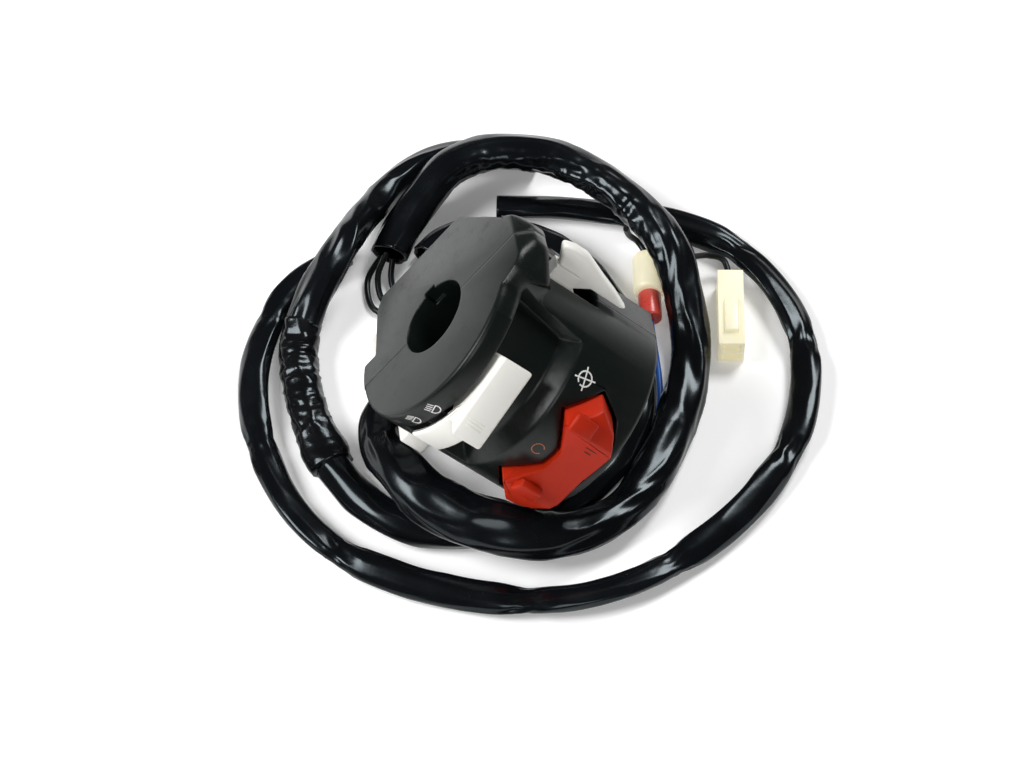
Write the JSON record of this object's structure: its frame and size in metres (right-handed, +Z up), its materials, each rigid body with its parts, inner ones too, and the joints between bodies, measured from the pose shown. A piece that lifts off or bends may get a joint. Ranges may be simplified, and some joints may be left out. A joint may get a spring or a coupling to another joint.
{
  "type": "handlebar switch cluster",
  "caption": "Motorbike handlebar switch cluster: a split drum housing with headlight slider, stop rocker, turn lever, horn and passing buttons and a sleeved wiring harness.",
  "frame": {"origin": "middle of the handlebar bore", "axes": "+Z up from the table that the cluster lies on, -Y towards the viewer; the bore dips 40 degrees below +X"},
  "size_m": [0.1617, 0.1576, 0.0842],
  "materials": {
    "black_housing": "satin moulded",
    "white_plastic": "satin moulded",
    "red_plastic": "satin moulded",
    "natural_plastic": "plain moulded",
    "brown_board": "paper laminate",
    "brass": "stamped",
    "copper_blade": "stamped phosphor bronze",
    "spring_steel": "drawn wire",
    "zinc_steel": "zinc plated",
    "black_rubber": "moulded",
    "black_sleeve": "soft vinyl",
    "black_tape": "vinyl tape",
    "black_wire": "vinyl insulation",
    "red_wire": "vinyl insulation",
    "green_wire": "vinyl insulation",
    "blue_wire": "vinyl insulation",
    "nylon": "natural nylon",
    "red_vinyl": "soft vinyl"
  },
  "bodies": {
    "housing": {"front_housing": "black_housing", "rear_housing": "black_housing", "housing_screws": "zinc_steel", "screw_inserts": "brass", "light_board": "brown_board", "light_fixed_contacts": "brass", "light_board_screws": "zinc_steel", "stop_pivot_pin": "zinc_steel", "stop_base": "brown_board", "stop_terminals": "brass", "stop_base_screws": "zinc_steel", "turn_board": "brown_board", "turn_fixed_contacts": "brass", "turn_centring_springs": "spring_steel", "turn_board_screws": "zinc_steel", "horn_spring": "spring_steel", "horn_base": "brown_board", "horn_fixed_contacts": "brass", "pass_spring": "spring_steel", "pass_base": "brown_board", "pass_fixed_contacts": "brass", "wire_grommet": "black_rubber", "inner_leads": "blue_wire", "main_sleeve": "black_sleeve", "splice_wire_black": "black_wire", "splice_wire_red": "red_wire", "splice_wire_green": "green_wire", "inner_sleeve": "black_sleeve", "tape_wrap": "black_tape", "inner_sleeve_tail": "black_sleeve", "outer_sleeve": "black_sleeve", "connector_lead": "black_wire", "connector_housing": "nylon", "connector_terminals": "brass", "bullet_lead": "black_wire", "bullet_sleeve": "nylon", "bullet_barrel": "red_vinyl", "earth_lead": "blue_wire", "earth_terminal": "zinc_steel"},
    "headlight_slider": {"light_knob": "white_plastic", "light_carrier": "natural_plastic", "light_contact": "copper_blade", "light_contact_springs": "spring_steel", "light_detent_ball": "zinc_steel", "light_detent_spring": "spring_steel"},
    "engine_stop_rocker": {"stop_rocker": "red_plastic", "stop_plunger": "natural_plastic", "stop_plunger_spring": "spring_steel"},
    "engine_stop_blade": {"stop_blade": "copper_blade"},
    "turn_signal_carriage": {"turn_carriage": "natural_plastic", "turn_contact": "copper_blade", "turn_push_spring": "spring_steel"},
    "turn_signal_lever": {"turn_lever": "white_plastic"},
    "horn_push": {"horn_button": "white_plastic", "horn_contact_disc": "copper_blade"},
    "passing_push": {"pass_button": "white_plastic", "pass_contact_disc": "copper_blade"}
  },
  "joints": [
    {"name": "headlight_slide_turn", "type": "hinge", "parent": "housing", "child": "headlight_slider", "pos_m": [0, 0, 0], "axis": [0.766, 0, -0.6428], "range_deg": [0, 30]},
    {"name": "engine_stop_turn", "type": "hinge", "parent": "housing", "child": "engine_stop_rocker", "pos_m": [0.01775, -0.02411, -0.00374], "axis": [0.766, 0, -0.6428], "range_deg": [-10, 0]},
    {"name": "engine_stop_blade_turn", "type": "hinge", "parent": "housing", "child": "engine_stop_blade", "pos_m": [0.01649, -0.0157, -0.00757], "axis": [0.766, 0, -0.6428], "range_deg": [0, 10]},
    {"name": "turn_signal_slide", "type": "slide", "parent": "housing", "child": "turn_signal_carriage", "axis": [0.766, 0, -0.6428], "range_m": [-0.004, 0.004], "stiffness_N_per_m": 400, "deforming": ["turn_centring_springs"]},
    {"name": "turn_signal_cancel", "type": "slide", "parent": "turn_signal_carriage", "child": "turn_signal_lever", "axis": [-0.5872, -0.4067, -0.6998], "range_m": [0, 0.0015], "stiffness_N_per_m": 600, "deforming": ["turn_push_spring"]},
    {"name": "horn_press", "type": "slide", "parent": "housing", "child": "horn_push", "axis": [0.5872, 0.4067, 0.6998], "range_m": [0, 0.0025], "stiffness_N_per_m": 600, "deforming": ["horn_spring"]},
    {"name": "passing_press", "type": "slide", "parent": "housing", "child": "passing_push", "axis": [0.5872, 0.4067, 0.6998], "range_m": [0, 0.0025], "stiffness_N_per_m": 600, "deforming": ["pass_spring"]}
  ],
  "couplings": [
    {"joint": "engine_stop_blade_turn", "follows": "engine_stop_turn", "ratio": -1}
  ]
}
